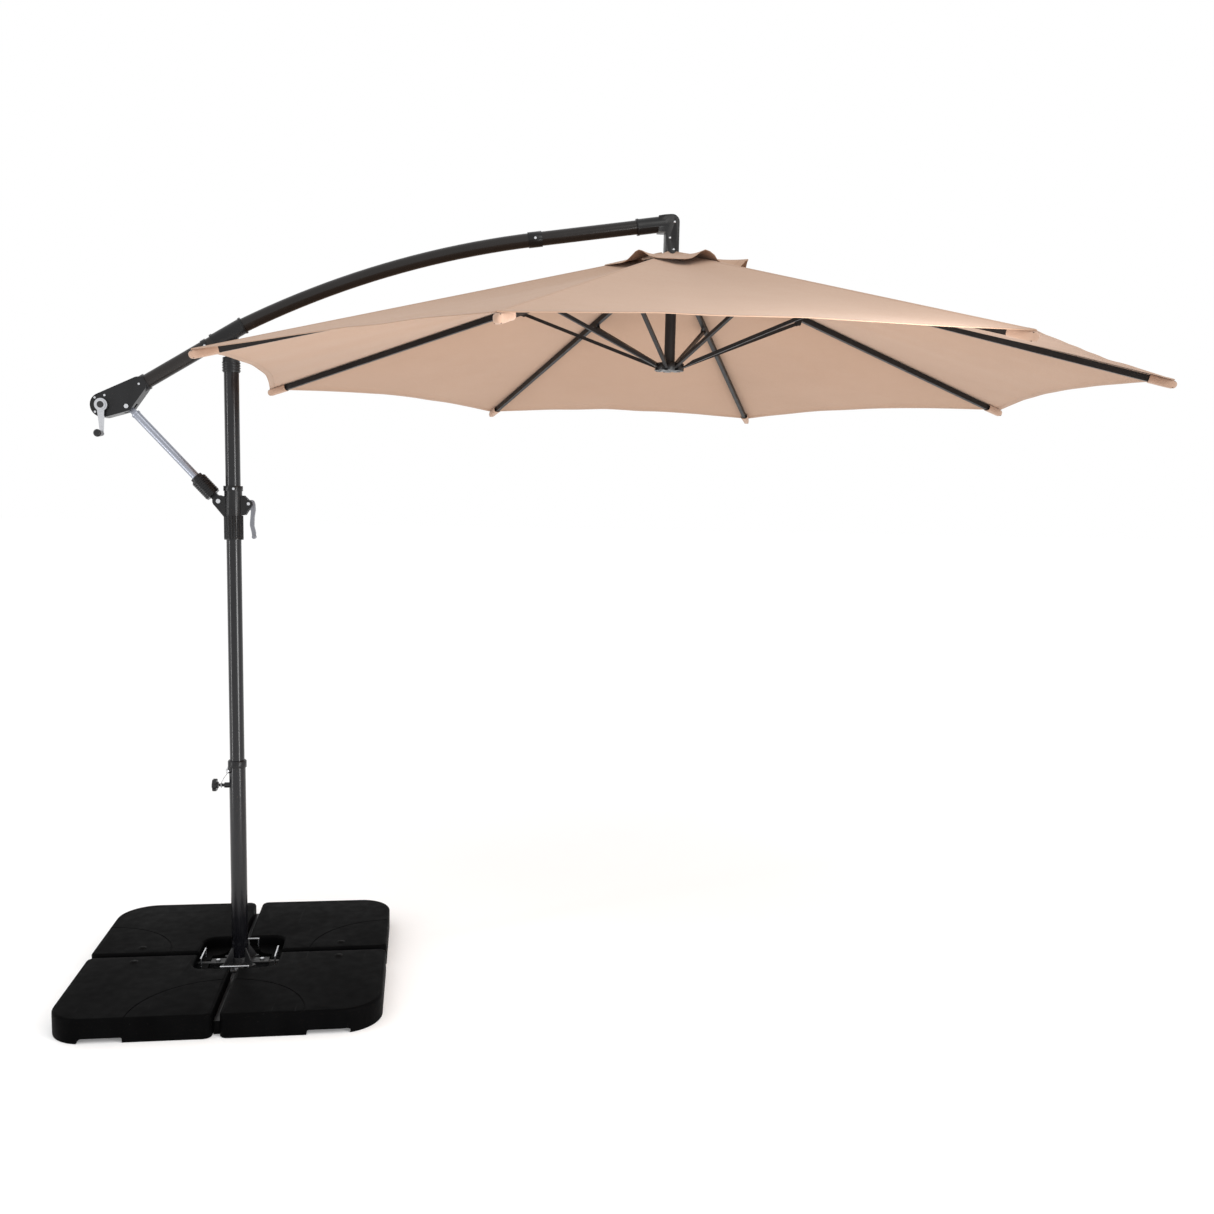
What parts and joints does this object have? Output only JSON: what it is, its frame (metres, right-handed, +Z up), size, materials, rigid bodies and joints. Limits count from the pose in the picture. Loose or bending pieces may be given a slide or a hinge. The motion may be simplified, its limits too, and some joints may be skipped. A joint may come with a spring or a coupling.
{
  "type": "patio umbrella with base",
  "caption": "Cantilever patio umbrella on a weighted cross base, with a curved arm, crank, sliding strut and a vented eight-sided canopy.",
  "frame": {"origin": "on the ground under the post's axis, at the middle of the crossed base beams' underside", "axes": "+Z up the post, +X from the post towards the canopy's axis, +Y to the back of the view"},
  "size_m": [3.304, 2.7866, 2.53],
  "materials": {
    "post_steel": "satin powder coat",
    "rib_steel": "satin powder coat",
    "moulding": "matte moulded",
    "knob_plastic": "matte moulded",
    "plate_plastic": "fine moulded grain",
    "water": "water inside the plates",
    "zinc": "zinc plated",
    "strut_silver": "satin anodised",
    "crank_silver": "polished",
    "cord": "braided",
    "cloth": "plain woven polyester"
  },
  "bodies": {
    "base": {"cross_beams": "post_steel", "plastic_caps": "moulding", "foot_flange": "post_steel", "lower_post": "post_steel", "post_collar": "moulding", "frame_bolts": "zinc", "leg_clips": "zinc", "weight_front_left": "plate_plastic", "weight_front_right": "plate_plastic", "weight_back_left": "plate_plastic", "weight_back_right": "plate_plastic", "ballast_fill": "water", "knob_wire": "zinc"},
    "mast": {"upper_post": "post_steel", "post_head": "moulding", "arm_pivot_bolt": "zinc"},
    "clamp_knob": {"lock_knob": "knob_plastic"},
    "arm": {"arm_lower_tube": "post_steel", "arm_sleeve": "moulding", "arm_curve_tube": "post_steel", "arm_tip_tube": "post_steel", "arm_collars": "moulding", "elbow": "moulding", "arm_rivets": "zinc", "canopy_mast": "post_steel", "crown_hub": "moulding", "crown_pins": "zinc", "crank_housing_front": "moulding", "crank_housing_back": "moulding", "strut_bolt": "zinc", "lift_cord": "cord", "vent_cap": "cloth", "canopy": "cloth"},
    "strut": {"strut_tube": "strut_silver", "strut_grip": "moulding", "strut_eye": "moulding"},
    "slider": {"slider_body": "moulding", "slider_pins": "zinc"},
    "lever": {"brake_lever": "strut_silver"},
    "crank": {"winch_spool": "zinc", "crank_handle": "crank_silver"},
    "crank_grip": {"crank_knob": "knob_plastic"},
    "runner": {"lower_hub": "moulding", "hub_pins": "zinc"},
    "rib_1": {"rib_1": "rib_steel"},
    "stretcher_1": {"stretcher_1": "rib_steel"},
    "rib_2": {"rib_2": "rib_steel"},
    "stretcher_2": {"stretcher_2": "rib_steel"},
    "rib_3": {"rib_3": "rib_steel"},
    "stretcher_3": {"stretcher_3": "rib_steel"},
    "rib_4": {"rib_4": "rib_steel"},
    "stretcher_4": {"stretcher_4": "rib_steel"},
    "rib_5": {"rib_5": "rib_steel"},
    "stretcher_5": {"stretcher_5": "rib_steel"},
    "rib_6": {"rib_6": "rib_steel"},
    "stretcher_6": {"stretcher_6": "rib_steel"},
    "rib_7": {"rib_7": "rib_steel"},
    "stretcher_7": {"stretcher_7": "rib_steel"},
    "rib_8": {"rib_8": "rib_steel"},
    "stretcher_8": {"stretcher_8": "rib_steel"}
  },
  "joints": [
    {"name": "mast_swivel", "type": "hinge", "parent": "base", "child": "mast", "pos_m": [0, 0, 0.722], "axis": [0, 0, 1], "continuous": true},
    {"name": "knob_turn", "type": "hinge", "parent": "base", "child": "clamp_knob", "pos_m": [-0.05, 0, 0.65], "axis": [-1, 0, 0], "range_deg": [0, 1080]},
    {"name": "arm_tilt", "type": "hinge", "parent": "mast", "child": "arm", "pos_m": [0, 0, 2.066], "axis": [0, 1, 0], "range_deg": [0, 20]},
    {"name": "strut_swing", "type": "hinge", "parent": "arm", "child": "strut", "pos_m": [-0.319, 0, 1.876], "axis": [0, -1, 0], "range_deg": [0, 29.84]},
    {"name": "slider_slide", "type": "slide", "parent": "mast", "child": "slider", "axis": [0, 0, 1], "range_m": [0, 0.17185]},
    {"name": "lever_flip", "type": "hinge", "parent": "slider", "child": "lever", "pos_m": [0.05, 0, 1.578], "axis": [0, -1, 0], "range_deg": [0, 75]},
    {"name": "crank_turn", "type": "hinge", "parent": "arm", "child": "crank", "pos_m": [-0.393, 0, 1.878], "axis": [0, 1, 0], "range_deg": [0, 2400]},
    {"name": "crank_grip_spin", "type": "hinge", "parent": "crank", "child": "crank_grip", "pos_m": [-0.393, -0.06, 1.788], "axis": [0, 1, 0], "continuous": true},
    {"name": "runner_slide", "type": "slide", "parent": "arm", "child": "runner", "axis": [0, 0, -1], "range_m": [0, 0.66703], "deforming": ["canopy"]},
    {"name": "rib_1_fold", "type": "hinge", "parent": "arm", "child": "rib_1", "pos_m": [1.3662, -0.01607, 2.388], "axis": [0.3827, -0.9239, 0], "range_deg": [0, 68.36]},
    {"name": "rib_2_fold", "type": "hinge", "parent": "arm", "child": "rib_2", "pos_m": [1.3662, 0.01607, 2.388], "axis": [-0.3827, -0.9239, 0], "range_deg": [0, 68.36]},
    {"name": "rib_3_fold", "type": "hinge", "parent": "arm", "child": "rib_3", "pos_m": [1.38893, 0.0388, 2.388], "axis": [-0.9239, -0.3827, 0], "range_deg": [0, 68.36]},
    {"name": "rib_4_fold", "type": "hinge", "parent": "arm", "child": "rib_4", "pos_m": [1.42107, 0.0388, 2.388], "axis": [-0.9239, 0.3827, 0], "range_deg": [0, 68.36]},
    {"name": "rib_5_fold", "type": "hinge", "parent": "arm", "child": "rib_5", "pos_m": [1.4438, 0.01607, 2.388], "axis": [-0.3827, 0.9239, 0], "range_deg": [0, 68.36]},
    {"name": "rib_6_fold", "type": "hinge", "parent": "arm", "child": "rib_6", "pos_m": [1.4438, -0.01607, 2.388], "axis": [0.3827, 0.9239, 0], "range_deg": [0, 68.36]},
    {"name": "rib_7_fold", "type": "hinge", "parent": "arm", "child": "rib_7", "pos_m": [1.42107, -0.0388, 2.388], "axis": [0.9239, 0.3827, 0], "range_deg": [0, 68.36]},
    {"name": "rib_8_fold", "type": "hinge", "parent": "arm", "child": "rib_8", "pos_m": [1.38893, -0.0388, 2.388], "axis": [0.9239, -0.3827, 0], "range_deg": [0, 68.36]},
    {"name": "stretcher_1_swing", "type": "hinge", "parent": "rib_1", "child": "stretcher_1", "pos_m": [0.92991, -0.19679, 2.235], "axis": [-0.3827, 0.9239, 0], "range_deg": [0, 133.09]},
    {"name": "stretcher_2_swing", "type": "hinge", "parent": "rib_2", "child": "stretcher_2", "pos_m": [0.92991, 0.19679, 2.235], "axis": [0.3827, 0.9239, 0], "range_deg": [0, 133.09]},
    {"name": "stretcher_3_swing", "type": "hinge", "parent": "rib_3", "child": "stretcher_3", "pos_m": [1.20821, 0.47509, 2.235], "axis": [0.9239, 0.3827, 0], "range_deg": [0, 133.09]},
    {"name": "stretcher_4_swing", "type": "hinge", "parent": "rib_4", "child": "stretcher_4", "pos_m": [1.60179, 0.47509, 2.235], "axis": [0.9239, -0.3827, 0], "range_deg": [0, 133.09]},
    {"name": "stretcher_5_swing", "type": "hinge", "parent": "rib_5", "child": "stretcher_5", "pos_m": [1.88009, 0.19679, 2.235], "axis": [0.3827, -0.9239, 0], "range_deg": [0, 133.09]},
    {"name": "stretcher_6_swing", "type": "hinge", "parent": "rib_6", "child": "stretcher_6", "pos_m": [1.88009, -0.19679, 2.235], "axis": [-0.3827, -0.9239, 0], "range_deg": [0, 133.09]},
    {"name": "stretcher_7_swing", "type": "hinge", "parent": "rib_7", "child": "stretcher_7", "pos_m": [1.60179, -0.47509, 2.235], "axis": [-0.9239, -0.3827, 0], "range_deg": [0, 133.09]},
    {"name": "stretcher_8_swing", "type": "hinge", "parent": "rib_8", "child": "stretcher_8", "pos_m": [1.20821, -0.47509, 2.235], "axis": [-0.9239, 0.3827, 0], "range_deg": [0, 133.09]}
  ],
  "couplings": [
    {"joint": "strut_swing", "follows": "arm_tilt", "ratio": 1.492},
    {"joint": "slider_slide", "follows": "arm_tilt", "m_per_rad": 0.49229},
    {"joint": "runner_slide", "follows": "crank_turn", "m_per_rad": 0.015924},
    {"joint": "rib_1_fold", "follows": "crank_turn", "ratio": 0.028482},
    {"joint": "rib_2_fold", "follows": "crank_turn", "ratio": 0.028482},
    {"joint": "rib_3_fold", "follows": "crank_turn", "ratio": 0.028482},
    {"joint": "rib_4_fold", "follows": "crank_turn", "ratio": 0.028482},
    {"joint": "rib_5_fold", "follows": "crank_turn", "ratio": 0.028482},
    {"joint": "rib_6_fold", "follows": "crank_turn", "ratio": 0.028482},
    {"joint": "rib_7_fold", "follows": "crank_turn", "ratio": 0.028482},
    {"joint": "rib_8_fold", "follows": "crank_turn", "ratio": 0.028482},
    {"joint": "stretcher_1_swing", "follows": "crank_turn", "ratio": 0.055455},
    {"joint": "stretcher_2_swing", "follows": "crank_turn", "ratio": 0.055455},
    {"joint": "stretcher_3_swing", "follows": "crank_turn", "ratio": 0.055455},
    {"joint": "stretcher_4_swing", "follows": "crank_turn", "ratio": 0.055455},
    {"joint": "stretcher_5_swing", "follows": "crank_turn", "ratio": 0.055455},
    {"joint": "stretcher_6_swing", "follows": "crank_turn", "ratio": 0.055455},
    {"joint": "stretcher_7_swing", "follows": "crank_turn", "ratio": 0.055455},
    {"joint": "stretcher_8_swing", "follows": "crank_turn", "ratio": 0.055455}
  ]
}
